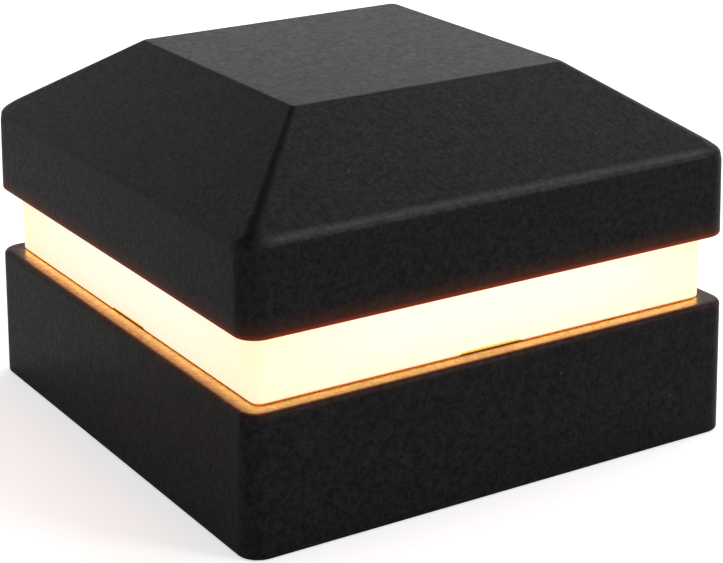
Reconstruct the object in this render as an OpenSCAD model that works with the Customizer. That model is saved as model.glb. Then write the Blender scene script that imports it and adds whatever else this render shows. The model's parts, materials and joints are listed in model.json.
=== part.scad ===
// Deck post cap light: a square cast cap with a hipped roof, a lit opal band and a skirt
// that drops over the end of a wooden post. The head (roof, band and lamp) pushes onto
// ball studs on the base and lifts straight off.
// Millimetres, +Z up, origin at the middle of the bottom rim.

/* [Post] */
// Actual width of the post that the skirt drops over
post_w = 88.9; // [86:0.1:92]
// Clearance on each side between the post and the ribs
post_gap = 1.6; // [0.5:0.1:2.5]
// How far the post end reaches up inside the skirt
socket_depth = 19.9; // [15:0.1:25]
// Distance from the middle to each post screw, in X and in Y
post_screw_pos = 33; // [31:0.5:35]
// Radius of the post screw holes
post_screw_hole_r = 2.4; // [1.8:0.1:3]

/* [Base] */
// Height of the stop pads between the post end and the deck
pad_h = 3; // [2.5:0.1:5]
// Thickness of the deck
deck_t = 3; // [2:0.1:5]
// Thickness of the skirt wall
base_wall = 3; // [2:0.1:4]
// Depth of the ribs that centre the post
rib_depth = 2.2; // [1.2:0.1:3]
// Thickness of one rib
rib_t = 3; // [2:0.1:5]
// Distance of the ribs from the middle of each side
rib_pos = 22; // [15:1:30]
// Slope of the cast walls, in degrees
draft = 1.44; // [0.5:0.02:2]
// Radius of the upright outer corners
corner_r = 3.4; // [3:0.1:7]
// Radius of the post screw pads
screw_pad_r = 6; // [4.5:0.1:7]
// Radius of the ball stud pads
stud_pad_r = 5; // [3.5:0.1:6]
// Height of the locating lip above the deck
lip_h = 1.5; // [1:0.1:2]
// Thickness of the locating lip
lip_t = 1.2; // [0.8:0.1:2]

/* [Roof] */
// How far the fascia stands back from the edge of the ledge
eave_setback = 0.2; // [0:0.1:1]
// Height of the upright fascia
fascia_h = 15.8; // [12:0.1:20]
// Height of the slopes
hip_h = 15.1; // [12:0.1:22]
// Width of the flat top
plateau_w = 56.3; // [50:0.1:62]
// Thickness of the roof's slopes and flat top
roof_wall = 2.8; // [2:0.1:4]
// Width of the step that presses on the upper seal
seat_w = 1.9; // [1.2:0.1:2.5]

/* [Band] */
// Height of the lit band between ledge and fascia
band_h = 12.6; // [11.5:0.1:18]
// How far the lit band stands back from the fascia
band_setback = 3.25; // [2.5:0.05:5]
// Wall of the opal diffuser
diffuser_wall = 2.5; // [1.5:0.1:3]
// Radius of the diffuser's upright corners
diffuser_r = 1.8; // [1:0.1:4]
// How far the diffuser reaches up inside the fascia
diffuser_lap = 5; // [4:0.1:7]
// Gap between the diffuser and the fascia's inner face
diffuser_gap = 0.35; // [0.2:0.05:0.6]
// Thickness of the diffuser's corner ears
ear_t = 2; // [1.5:0.1:3]
// Distance from the diffuser's inner face to the ear screws
ear_inset = 6.15; // [5.5:0.05:7]
// Length of the pry notches in the diffuser's foot
notch_l = 13; // [8:0.5:20]
// Height of the pry notches
notch_h = 0.45; // [0.3:0.05:1]

/* [Seals] */
// Thickness of the lower seal
base_gasket_t = 0.8; // [0.5:0.1:1.2]
// How far the lower seal stands out of its groove
gasket_proud = 0.3; // [0.2:0.05:0.5]
// How far the lower seal stands back from the diffuser's faces
gasket_inset = 0.3; // [0.2:0.05:0.6]
// Thickness of the upper seal
roof_gasket_t = 1.2; // [0.8:0.1:2]

/* [Light boards] */
// Thickness of the carrier's sheet metal
sheet_t = 1.2; // [0.8:0.1:1.5]
// Gap between the carrier's edge and the diffuser
carrier_gap = 0.75; // [0.4:0.05:1.5]
// Room at the inner corners, from a board's end to the next board's flange
corner_room = 5; // [4.5:0.1:5.5]
// Gap between the carrier's feet and the deck
foot_gap = 2.5; // [2.2:0.1:3]
// Length of a light board
led_board_l = 56; // [50:1:58]
// Height of a light board
led_board_h = 10; // [8.5:0.1:10.5]
// Thickness of a light board
led_board_t = 1; // [0.8:0.1:1.6]
// Number of light packages on a board
led_count = 6; // [3:1:7]
// Distance from a board's ends to the middle of its outer light packages
led_inset = 8; // [7:0.5:11]
// Length of a light package
led_l = 3.5; // [2.8:0.1:4]
// Height of a light package
led_h = 2.8; // [2:0.1:3.5]
// Thickness of a light package
led_t = 0.8; // [0.6:0.1:1.2]
// Distance from a board's ends to its screws
led_screw_inset = 3; // [2.5:0.1:3.2]

/* [Driver] */
// Length of the driver board
driver_l = 56; // [54:1:64]
// Width of the driver board
driver_w = 40; // [40:1:50]
// Thickness of the driver board
driver_t = 1.6; // [1:0.1:2]
// Length of the bosses between the roof and the driver board
driver_boss_h = 8.6; // [6:0.1:9]
// Distance from the driver board's edges to its screws
driver_screw_inset = 3.5; // [3:0.1:4]

/* [Wiring] */
// Radius of the hole through the cable grommet
cable_hole_r = 3.3; // [2.5:0.1:4]
// Radius of the insulated inner wires
wire_r = 0.5; // [0.4:0.05:0.6]
// Height of the wires above and below the middle of the light boards
wire_rise = 3.1; // [3:0.1:3.5]

/* [Hidden] */
$fn = 64;

// fits
touch_gap = 0.02;
screw_gap = 0.05;
hole_gap = 0.1;
ball_gap = 0.15;
sheet_gap = 0.3;
embed = 0.4;

// widths, as distances from the middle to a face
rib_face = post_w / 2 + post_gap;
base_half = rib_face + rib_depth + base_wall;
function wall_half(low_half, z) = low_half - z * tan(draft);
z_seat = socket_depth;
z_deck_under = z_seat + pad_h;
z_ledge = z_deck_under + deck_t;
ledge_half = wall_half(base_half, z_ledge);
fascia_half = ledge_half - eave_setback;
eave_half = wall_half(fascia_half, fascia_h);
diffuser_half = fascia_half - band_setback;
diffuser_in = diffuser_half - diffuser_wall;
lap_half = diffuser_half + diffuser_gap;
seat_half = lap_half - seat_w;
carrier_half = diffuser_in - carrier_gap;
flange_face = led_board_l / 2 + corner_room;
window_half = flange_face - sheet_t;
lip_half = diffuser_in - diffuser_gap;
reflector_half = lip_half - lip_t - sheet_gap;

// heights
z_foot = z_ledge + gasket_proud;
z_fascia = z_ledge + band_h;
z_eave = z_fascia + fascia_h;
z_top = z_eave + hip_h;
z_diffuser_top = z_fascia + diffuser_lap;
z_roof_seat = z_diffuser_top + roof_gasket_t;
z_ear_under = z_diffuser_top - ear_t;
z_plate_under = z_ear_under - sheet_t;
z_ceiling = z_top - roof_wall;
z_driver_top = z_ceiling - driver_boss_h;
z_driver_under = z_driver_top - driver_t;
z_foot_under = z_ledge + foot_gap;
z_led_board = (z_foot_under + z_plate_under) / 2;

// roof pitch, and the same pitch one wall further in
pitch = atan(hip_h / (eave_half - plateau_w / 2));
slope_drop = roof_wall / cos(pitch);
inner_plateau = eave_half - (z_ceiling - z_eave + slope_drop) / tan(pitch);
eave_over = 2;

// carrier and diffuser screws
ear_pos = diffuser_in - ear_inset;
ear_reach = 4.5;
boss_r = 3.5;
m3_r = 1.5;
m3_hole_r = 1.7;
m3_head_r = 2.8;
m3_head_h = 2;
washer_r = 3.3;
washer_t = 0.6;
carrier_screw_l = 8;
bore_spare = 2;
boss_bore_depth = carrier_screw_l - sheet_t - ear_t - washer_t + bore_spare;

// catches: a ball stud on the deck and a socket in each foot of the carrier
ball_r = 2;
ball_neck_r = 1.2;
stud_collar_r = 3;
stud_collar_h = 0.8;
stud_shank_spare = 0.5;
stud_recess_r = 0.6;
stud_recess_d = 1;
z_ball = z_foot_under + sheet_t;
socket_r = 3.1;
socket_flange_r = 4.2;
socket_flange_h = 0.8;
socket_snap_r = 3.7;
socket_snap_h = 0.6;
socket_skirt = 0.4;
socket_crown = 0.6;
catch_pos = window_half - socket_flange_r - sheet_gap;

// carrier flanges and feet
flange_spare = 1;
flange_l = led_board_l + 2 * flange_spare;
foot_l = 14;
foot_edge = 1.5;
foot_reach = window_half - catch_pos + socket_r + hole_gap + foot_edge;

// lower seal and its groove
gasket_out = diffuser_half - gasket_inset;
gasket_in = diffuser_in + gasket_inset;
groove_depth = base_gasket_t - gasket_proud;

// ribs
rib_low = 2;

// deck sheet and grommet
reflector_t = 0.3;
screw_window_r = 5.5;
grommet_hole_r = 8;
grommet_flange_r = 10.5;
grommet_flange_h = 2;
grommet_crown_r = 6;

// light packages and light board screws
led_span = led_board_l - 2 * led_inset;
led_screw_pos = led_board_l / 2 - led_screw_inset;
m2_r = 0.95;
m2_head_r = 1.9;
m2_head_h = 1.3;
m2_tail = 0.8;
led_dimple_r = 1.1;
led_dimple_d = 0.15;

// driver screws and bosses
driver_boss_r = 3;
m25_r = 1.2;
m25_head_r = 2.4;
m25_head_h = 1.8;
m25_bite = 5;
driver_screw_x = driver_l / 2 - driver_screw_inset;
driver_screw_y = driver_w / 2 - driver_screw_inset;

// terminal block: wells for its screws, rooms for its cage clamps
well_r = 1.9;
well_depth = 3;
cage_size = [3.8, 6, 3.6];
cage_room = [4.2, 6.4, 4];
cage_top = 1.5;
cage_floor = 0.8;
entry_w = 2.8;
entry_h = 2.3;
slot_w = 0.5;
slot_d = 0.6;
clamp_head_h = 1.6;

// parts of the driver, each placed from the board's middle by its distances from a corner
function from_corner(x_side, y_side, inset) =
    [x_side * (driver_l / 2 - inset[0]), y_side * (driver_w / 2 - inset[1])];
block_edge = 6;
block_at = [0, block_edge - driver_w / 2];
block_size = [10.2, 8.2, 9];
pole_pitch = 5.08;
part_row = 12;
large_part_inset = 14;
rectifier_at = from_corner(-1, -1, [part_row, large_part_inset]);
rectifier_size = [8.4, 6.4, 2.6];
rectifier_leads = [2, 5.1, 1, 1.1];
capacitor_at = from_corner(-1, 1, [large_part_inset, part_row]);
capacitor_r = 4;
capacitor_h = 11.5;
crimp_r = 0.5;
crimp_z = 2;
vent_w = 0.3;
choke_inset = 27;
choke_at = from_corner(-1, 1, [choke_inset, part_row]);
choke_w = 7.3;
choke_h = 4.5;
choke_core_r = 3;
choke_groove = 0.4;
choke_groove_d = 0.3;
chip_inset = 18;
chip_at = from_corner(1, 1, [chip_inset, chip_inset]);
chip_size = [4.9, 3.9, 1.5];
chip_leads = [4, 1.27, 0.42, 1];
fuse_at = from_corner(1, -1, [large_part_inset, part_row]);
fuse_size = [4.6, 3.2, 1.1];
header_inset = 8.5;
header_at = from_corner(1, 1, [header_inset, part_row]);
header_size = [8, 6, 5];
header_wall = 0.8;
plug_size = [6.2, 4.2, 5.5];
plug_depth = 3.8;
plug_bore_d = 2;
wire_pitch = 2.5;
lead_t = 0.3;

// wires
wire_sides = 8;
z_wire_high = z_led_board + wire_rise;
z_wire_low = z_led_board - wire_rise;
wire_face = flange_face + led_board_t + wire_r + touch_gap;
pad_pos = led_board_l / 2 - 1.2;
wire_bend = flange_l / 2 + 1.2;
wire_out = wire_face + 0.4;
wire_corner = (wire_out + wire_bend) / 2 + 0.9;
wire_drop = 4;
window_turn = window_half - 1.4;

// ---- shared shapes ----

// Square with round corners, from its half width
module rounded_square(half, r) {
    square([2 * half, 2 * (half - r)], center = true);
    square([2 * (half - r), 2 * half], center = true);
    for (x = [-1, 1], y = [-1, 1])
        translate([x * (half - r), y * (half - r)])
            circle(r);
}

// Upright slab with round corners, from z0 to z1
module slab(half, r, z0, z1) {
    translate([0, 0, z0])
        linear_extrude(z1 - z0)
            rounded_square(half, r);
}

// Square ring with round corners
module ring(out_half, in_half, r, z0, z1) {
    wall = out_half - in_half;
    difference() {
        slab(out_half, r, z0, z1);
        slab(in_half, max(r - wall, 0.5), z0 - 1, z1 + 1);
    }
}

// Bar along Y whose cross-section is drawn in X and Z
module bar_along_y(points, length) {
    rotate([90, 0, 0])
        linear_extrude(length, center = true)
            polygon(points);
}

// Block whose walls lean in by the draft, with round corners about fixed centres
module drafted_block(low_half, core, z0, z1) {
    high_half = wall_half(low_half, z1 - z0);
    side = [[-low_half, z0], [low_half, z0], [high_half, z1], [-high_half, z1]];
    for (turn = [0, 90])
        rotate(turn)
            bar_along_y(side, 2 * core);
    for (x = [-1, 1], y = [-1, 1])
        translate([x * core, y * core, z0])
            cylinder(z1 - z0, low_half - core, high_half - core);
}

// Two crossed bars that leave a hipped roof where they meet
module hip_form(low, outer_half, high, top_half, top) {
    side = [[-outer_half, low], [outer_half, low], [outer_half, high],
            [top_half, top], [-top_half, top], [-outer_half, high]];
    intersection() {
        bar_along_y(side, 4 * outer_half);
        rotate(90)
            bar_along_y(side, 4 * outer_half);
    }
}

module at_corners(x, y) {
    for (i = [-1, 1], j = [-1, 1])
        translate([i * x, j * y, 0])
            children();
}

module at_sides(distance) {
    for (turn = [0:90:270])
        rotate(turn)
            translate([distance, 0, 0])
                children();
}

module disc(r, z0, z1) {
    translate([0, 0, z0])
        cylinder(z1 - z0, r, r);
}

// Pan-head screw that points up, its head under z
module screw_up(z, shank_r, head_r, head_h, length) {
    difference() {
        union() {
            disc(shank_r, z, z + length);
            disc(head_r, z - head_h, z);
        }
        translate([0, 0, z - head_h - 0.1])
            cylinder(head_h * 0.6, head_r * 0.5, head_r * 0.5, $fn = 6);
    }
}

// Wires: a route's corners are cut twice, and a tube is swept along what that leaves
function cut_corners(route) = concat(
    [route[0]],
    [for (i = [0:len(route) - 2]) each [0.75 * route[i] + 0.25 * route[i + 1],
                                        0.25 * route[i] + 0.75 * route[i + 1]]],
    [route[len(route) - 1]]);
function unit(v) = v / norm(v);
function heading(route, i) =
    unit(route[min(i + 1, len(route) - 1)] - route[max(i - 1, 0)]);
function ring_points(centre, along, aside, r) =
    let (u = unit(cross(along, aside)), v = cross(along, u))
    [for (k = [0:wire_sides - 1])
        centre + r * (cos(k * 360 / wire_sides) * u + sin(k * 360 / wire_sides) * v)];

// Tube of radius r; aside is a direction that the route never runs along
module wire(corners, r, aside) {
    route = cut_corners(cut_corners(corners));
    n = len(route);
    points = [for (i = [0:n - 1]) each ring_points(route[i], heading(route, i), aside, r)];
    sides = [for (i = [0:n - 2], k = [0:wire_sides - 1])
        let (a = i * wire_sides + k, b = i * wire_sides + (k + 1) % wire_sides)
        each [[a, a + wire_sides, b], [b, a + wire_sides, b + wire_sides]]];
    first = [for (k = [0:wire_sides - 1]) k];
    last = [for (k = [wire_sides - 1:-1:0]) (n - 1) * wire_sides + k];
    polyhedron(points, concat(sides, [first], [last]));
}

// ---- base ----

module base_skirt() {
    core = ledge_half - corner_r;
    inner_low = base_half - base_wall;
    inner_core = wall_half(inner_low, z_deck_under) - corner_r / 2;
    color([0.12, 0.12, 0.13])
        difference() {
            union() {
                difference() {
                    drafted_block(base_half, core, 0, z_ledge);
                    drafted_block(inner_low, inner_core, 0, z_deck_under);
                }
                post_ribs();
                at_corners(post_screw_pos, post_screw_pos)
                    disc(screw_pad_r, z_seat, z_deck_under + embed);
                at_sides(catch_pos)
                    disc(stud_pad_r, z_seat, z_deck_under + embed);
                ring(lip_half, lip_half - lip_t, diffuser_r, z_ledge - embed, z_ledge + lip_h);
            }
            at_corners(post_screw_pos, post_screw_pos)
                disc(post_screw_hole_r, z_seat - 1, z_ledge + 1);
            at_sides(catch_pos)
                disc(m3_r + screw_gap, z_seat - 1, z_ledge + 1);
            disc(grommet_hole_r, z_seat - 1, z_ledge + 1);
            ring(gasket_out + hole_gap, gasket_in - hole_gap, diffuser_r,
                 z_ledge - groove_depth, z_ledge + embed);
        }
}

// Upright ribs inside the skirt that centre the post, two on each side
module post_ribs() {
    for (turn = [0:90:270], side = [-1, 1])
        rotate(turn)
            translate([rib_face, side * rib_pos - rib_t / 2, rib_low])
                cube([rib_depth + embed, rib_t, z_deck_under - rib_low + embed]);
}

module base_gasket() {
    color([0.22, 0.15, 0.1])
        ring(gasket_out, gasket_in, diffuser_r, z_ledge - groove_depth, z_foot);
}

module deck_reflector() {
    color([0.95, 0.95, 0.93])
        difference() {
            slab(reflector_half, diffuser_r / 2, z_ledge, z_ledge + reflector_t);
            at_corners(post_screw_pos, post_screw_pos)
                disc(screw_window_r, z_ledge - 1, z_ledge + 1);
            at_sides(catch_pos)
                disc(stud_collar_r + sheet_gap, z_ledge - 1, z_ledge + 1);
            disc(grommet_flange_r + sheet_gap, z_ledge - 1, z_ledge + 1);
        }
}

module cable_grommet() {
    low = z_deck_under - grommet_flange_h;
    high = z_ledge + grommet_flange_h;
    groove_r = grommet_hole_r - hole_gap;
    color([0.1, 0.1, 0.1])
        rotate_extrude()
            polygon([[cable_hole_r, low], [grommet_flange_r, low],
                     [grommet_flange_r, z_deck_under], [groove_r, z_deck_under],
                     [groove_r, z_ledge], [grommet_flange_r, z_ledge],
                     [grommet_crown_r, high], [cable_hole_r, high]]);
}

module ball_studs() {
    color([0.72, 0.72, 0.74])
        at_sides(catch_pos)
            difference() {
                union() {
                    disc(m3_r, z_seat + stud_shank_spare, z_ledge);
                    disc(stud_collar_r, z_ledge, z_ledge + stud_collar_h);
                    disc(ball_neck_r, z_ledge, z_ball);
                    translate([0, 0, z_ball])
                        sphere(ball_r);
                }
                translate([0, 0, z_ball + ball_r - stud_recess_d])
                    cylinder(ball_r, stud_recess_r, stud_recess_r, $fn = 6);
            }
}

// ---- roof, seals and diffuser ----

module roof_form() {
    intersection() {
        drafted_block(fascia_half, eave_half - corner_r, z_fascia, z_top + 1);
        hip_form(z_fascia - 1, eave_half + eave_over, z_eave - eave_over * tan(pitch),
                 plateau_w / 2, z_top);
    }
}

module roof_cap() {
    color([0.12, 0.12, 0.13])
        difference() {
            union() {
                difference() {
                    roof_form();
                    roof_hollow();
                }
                intersection() {
                    roof_form();
                    roof_bosses();
                }
            }
            at_corners(ear_pos, ear_pos)
                disc(m3_r + screw_gap, z_diffuser_top - 1, z_diffuser_top + boss_bore_depth);
            at_corners(driver_screw_x, driver_screw_y)
                disc(m25_r + screw_gap, z_driver_top - 1, z_driver_top + m25_bite + 1);
        }
}

module roof_hollow() {
    hollow_r = max(diffuser_r - seat_w, 1);
    slab(lap_half, diffuser_r + diffuser_gap, z_fascia - 1, z_roof_seat);
    intersection() {
        slab(seat_half, hollow_r, z_fascia, z_top);
        hip_form(z_fascia - 1, eave_half, z_eave - slope_drop, inner_plateau, z_ceiling);
    }
}

module roof_bosses() {
    at_corners(ear_pos, ear_pos)
        disc(boss_r, z_diffuser_top, z_top);
    at_corners(driver_screw_x, driver_screw_y)
        disc(driver_boss_r, z_driver_top, z_ceiling + embed);
}

module roof_gasket() {
    color([0.15, 0.15, 0.15])
        ring(diffuser_half, diffuser_in + gasket_inset, diffuser_r, z_diffuser_top, z_roof_seat);
}

module diffuser() {
    ear_w = ear_inset + ear_reach;
    color([1, 0.93, 0.75])
        difference() {
            union() {
                ring(diffuser_half, diffuser_in, diffuser_r, z_foot, z_diffuser_top);
                at_corners(diffuser_in - ear_w / 2 + embed, diffuser_in - ear_w / 2 + embed)
                    translate([-ear_w / 2, -ear_w / 2, z_ear_under])
                        cube([ear_w, ear_w, ear_t]);
            }
            at_corners(ear_pos, ear_pos)
                disc(m3_hole_r, z_ear_under - 1, z_diffuser_top + 1);
            for (turn = [0, 90])
                rotate(turn)
                    translate([-diffuser_half - 1, -notch_l / 2, z_foot - 1])
                        cube([2 * diffuser_half + 2, notch_l, notch_h + 1]);
        }
}

// ---- lamp carrier ----

module led_carrier() {
    color([0.9, 0.9, 0.88])
        difference() {
            union() {
                ring(carrier_half, window_half, diffuser_r, z_plate_under, z_ear_under);
                at_sides(0)
                    carrier_flange();
            }
            at_corners(ear_pos, ear_pos)
                disc(m3_hole_r, z_plate_under - 1, z_ear_under + 1);
            at_sides(catch_pos)
                disc(socket_r + hole_gap, z_foot_under - 1, z_foot_under + sheet_t + 1);
            at_sides(0)
                board_screw_holes(m2_r + screw_gap);
        }
}

// One folded flange with the foot that holds a catch
module carrier_flange() {
    translate([window_half, -flange_l / 2, z_foot_under])
        cube([sheet_t, flange_l, z_ear_under - z_foot_under]);
    translate([window_half - foot_reach, -foot_l / 2, z_foot_under])
        cube([foot_reach + embed, foot_l, sheet_t]);
}

module board_screw_holes(r) {
    for (side = [-1, 1])
        translate([window_half - 1, side * led_screw_pos, z_led_board])
            rotate([0, 90, 0])
                cylinder(sheet_t + led_board_t + 2, r, r);
}

// One light board on the +X side, turned to its own side
module led_board(turn) {
    color([0.93, 0.93, 0.9])
        rotate(turn)
            difference() {
                translate([flange_face, -led_board_l / 2, z_led_board - led_board_h / 2])
                    cube([led_board_t, led_board_l, led_board_h]);
                board_screw_holes(m2_r + hole_gap);
            }
}

module led_board_right() { led_board(0); }
module led_board_back() { led_board(90); }
module led_board_left() { led_board(180); }
module led_board_front() { led_board(270); }

// The light packages of one board
module led_row(turn) {
    face = flange_face + led_board_t;
    pitch_y = led_span / (led_count - 1);
    color([1, 0.85, 0.3])
        rotate(turn)
            for (i = [0:led_count - 1])
                translate([face, -led_span / 2 + i * pitch_y, z_led_board])
                    difference() {
                        translate([0, -led_l / 2, -led_h / 2])
                            cube([led_t, led_l, led_h]);
                        translate([led_t - led_dimple_d, 0, 0])
                            rotate([0, 90, 0])
                                cylinder(1, led_dimple_r, led_dimple_r, $fn = 32);
                    }
}

module leds_right() { led_row(0); }
module leds_back() { led_row(90); }
module leds_left() { led_row(180); }
module leds_front() { led_row(270); }

module led_board_screws() {
    face = flange_face + led_board_t;
    shank = led_board_t + sheet_t + m2_tail;
    color([0.75, 0.75, 0.77])
        at_sides(0)
            for (side = [-1, 1])
                translate([face, side * led_screw_pos, z_led_board])
                    rotate([0, -90, 0])
                        screw_up(0, m2_r, m2_head_r, m2_head_h, shank);
}

module carrier_screws() {
    color([0.75, 0.75, 0.77])
        at_corners(ear_pos, ear_pos)
            screw_up(z_plate_under - washer_t, m3_r, m3_head_r, m3_head_h, carrier_screw_l);
}

module carrier_washers() {
    color([0.7, 0.7, 0.72])
        at_corners(ear_pos, ear_pos)
            difference() {
                disc(washer_r, z_plate_under - washer_t, z_plate_under);
                disc(m3_hole_r, z_plate_under - 1, z_plate_under + 1);
            }
}

module snap_sockets() {
    low = z_foot_under - socket_snap_h - socket_skirt;
    high = z_ball + socket_flange_h + socket_crown;
    bore_r = ball_r + ball_gap;
    color([0.92, 0.92, 0.9])
        at_sides(catch_pos)
            difference() {
                union() {
                    disc(socket_r, low, high);
                    disc(socket_snap_r, z_foot_under - socket_snap_h, z_foot_under);
                    disc(socket_flange_r, z_ball, z_ball + socket_flange_h);
                }
                disc(bore_r, low - 1, high + 1);
            }
}

// ---- driver ----

// Puts a part under the driver board, at a place given from the board's middle
module under_board(place) {
    translate([place[0], place[1], z_driver_under])
        children();
}

// Box that hangs down from z = 0
module hanging_box(size) {
    translate([-size[0] / 2, -size[1] / 2, -size[2]])
        cube(size);
}

module driver_board() {
    color([0.1, 0.35, 0.2])
        difference() {
            translate([-driver_l / 2, -driver_w / 2, z_driver_under])
                cube([driver_l, driver_w, driver_t]);
            at_corners(driver_screw_x, driver_screw_y)
                disc(m25_r + hole_gap, z_driver_under - 1, z_driver_top + 1);
        }
}

module driver_screws() {
    color([0.75, 0.75, 0.77])
        at_corners(driver_screw_x, driver_screw_y)
            screw_up(z_driver_under, m25_r, m25_head_r, m25_head_h, driver_t + m25_bite);
}

module at_poles() {
    for (side = [-1, 1])
        translate([side * pole_pitch / 2, 0, 0])
            children();
}

module terminal_block() {
    color([0.15, 0.45, 0.25])
        under_board(block_at)
            difference() {
                hanging_box(block_size);
                at_poles() {
                    translate([-cage_room[0] / 2, -block_size[1] / 2 - 1, -cage_top - cage_room[2]])
                        cube([cage_room[0], cage_room[1] + 1, cage_room[2]]);
                    disc(well_r, -block_size[2] - 1, -block_size[2] + well_depth);
                    disc(m25_r + hole_gap, -block_size[2] - 1, -cage_top - 1);
                }
            }
}

module terminal_clamps() {
    front = -block_size[1] / 2 + cage_room[1] - cage_size[1];
    color([0.8, 0.78, 0.7])
        under_board(block_at)
            at_poles()
                translate([0, 0, -cage_top])
                    difference() {
                        translate([-cage_size[0] / 2, front, -cage_size[2]])
                            cube(cage_size);
                        translate([-entry_w / 2, front - 1, -cage_size[2] + cage_floor])
                            cube([entry_w, cage_size[1] + 2, entry_h]);
                        disc(m25_r + hole_gap, -cage_size[2] - 1, -cage_size[2] + cage_floor + 1);
                    }
}

module terminal_screws() {
    z_head = well_depth - block_size[2];
    z_tip = cage_floor + slot_d - cage_top - cage_size[2];
    color([0.78, 0.78, 0.8])
        under_board(block_at)
            at_poles()
                difference() {
                    union() {
                        disc(well_r - hole_gap, z_head - clamp_head_h, z_head);
                        disc(m25_r, z_head, z_tip);
                    }
                    translate([-well_r, -slot_w / 2, z_head - clamp_head_h - 1])
                        cube([2 * well_r, slot_w, slot_d + 1]);
                }
}

// Flat leads on two sides of a body that hangs under the board.
// leads holds how many a side, their pitch, their width and their reach
module side_leads(body, leads) {
    for (i = [0:leads[0] - 1], side = [-1, 1])
        translate([(i - (leads[0] - 1) / 2) * leads[1], side * (body[1] + leads[3]) / 2, 0])
            hanging_box([leads[2], leads[3], lead_t]);
}

module bridge_rectifier() {
    color([0.12, 0.12, 0.12])
        under_board(rectifier_at) {
            hanging_box(rectifier_size);
            side_leads(rectifier_size, rectifier_leads);
        }
}

module smoothing_capacitor() {
    color([0.15, 0.15, 0.3])
        under_board(capacitor_at)
            difference() {
                disc(capacitor_r, -capacitor_h, 0);
                translate([0, 0, -crimp_z])
                    rotate_extrude()
                        translate([capacitor_r + crimp_r / 2, 0])
                            circle(crimp_r, $fn = 24);
                translate([0, 0, -capacitor_h])
                    for (turn = [0, 90])
                        rotate(turn)
                            cube([capacitor_r, vent_w, vent_w], center = true);
            }
}

module choke() {
    color([0.25, 0.25, 0.26])
        under_board(choke_at)
            difference() {
                translate([0, 0, -choke_h])
                    linear_extrude(choke_h)
                        rounded_square(choke_w / 2, 1);
                difference() {
                    disc(choke_core_r, -choke_h - 1, choke_groove_d - choke_h);
                    disc(choke_core_r - choke_groove, -choke_h - 2, -choke_h + 1);
                }
            }
}

module driver_chip() {
    color([0.1, 0.1, 0.1])
        under_board(chip_at) {
            hanging_box(chip_size);
            side_leads(chip_size, chip_leads);
        }
}

module fuse() {
    color([0.2, 0.3, 0.2])
        under_board(fuse_at)
            hanging_box(fuse_size);
}

module output_header() {
    color([0.93, 0.92, 0.88])
        under_board(header_at)
            difference() {
                hanging_box(header_size);
                translate([0, 0, -header_wall])
                    hanging_box([header_size[0] - 2 * header_wall,
                                 header_size[1] - 2 * header_wall, header_size[2]]);
            }
}

module output_plug() {
    plug_top = -header_size[2] + plug_depth;
    color([0.95, 0.94, 0.9])
        under_board(header_at)
            translate([0, 0, plug_top])
                difference() {
                    hanging_box(plug_size);
                    for (side = [-1, 1])
                        translate([side * wire_pitch / 2, 0, 0])
                            disc(wire_r + hole_gap, -plug_size[2] - 1, plug_bore_d - plug_size[2]);
                }
}

// ---- wires ----

// Lead from the plug down through the carrier's window to the end of the right-hand board
module feed_wire(side, z_end) {
    z_plug = z_driver_under - header_size[2] + plug_depth - plug_size[2];
    start = [header_at[0] + side * wire_pitch / 2, header_at[1], z_plug + plug_bore_d - hole_gap];
    corners = [
        start,
        start - [0, 0, wire_drop],
        [window_turn - 1 + side, window_turn - 1 - side, z_ear_under + sheet_t],
        [window_turn, window_turn, z_end + 1],
        [wire_out, wire_bend, z_end],
        [wire_face, pad_pos, z_end]
    ];
    wire(corners, wire_r, [1, -1, 0]);
}

module feed_wire_red() {
    color([0.7, 0.1, 0.08])
        feed_wire(1, z_wire_high);
}

module feed_wire_black() {
    color([0.08, 0.08, 0.08])
        feed_wire(-1, z_wire_low);
}

// Short leads round three corners, from one light board's end to the next board's
module jumpers(z) {
    for (turn = [0, 180, 270])
        rotate(turn)
            wire([[wire_face, -pad_pos, z], [wire_out, -wire_bend, z],
                  [wire_corner, -wire_corner, z], [wire_bend, -wire_out, z],
                  [pad_pos, -wire_face, z]], wire_r, [0, 0, 1]);
}

module jumper_wires_red() {
    color([0.7, 0.1, 0.08])
        jumpers(z_wire_high);
}

module jumper_wires_black() {
    color([0.08, 0.08, 0.08])
        jumpers(z_wire_low);
}

base_skirt();
base_gasket();
deck_reflector();
cable_grommet();
ball_studs();
roof_cap();
roof_gasket();
diffuser();
led_carrier();
led_board_front();
led_board_back();
led_board_left();
led_board_right();
leds_front();
leds_back();
leds_left();
leds_right();
led_board_screws();
carrier_screws();
carrier_washers();
snap_sockets();
driver_board();
driver_screws();
terminal_block();
terminal_clamps();
terminal_screws();
bridge_rectifier();
smoothing_capacitor();
choke();
driver_chip();
fuse();
output_header();
output_plug();
feed_wire_red();
feed_wire_black();
jumper_wires_red();
jumper_wires_black();
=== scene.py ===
import json
import math
from functools import reduce

import bmesh
import bpy
from mathutils import Matrix, Vector

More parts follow.
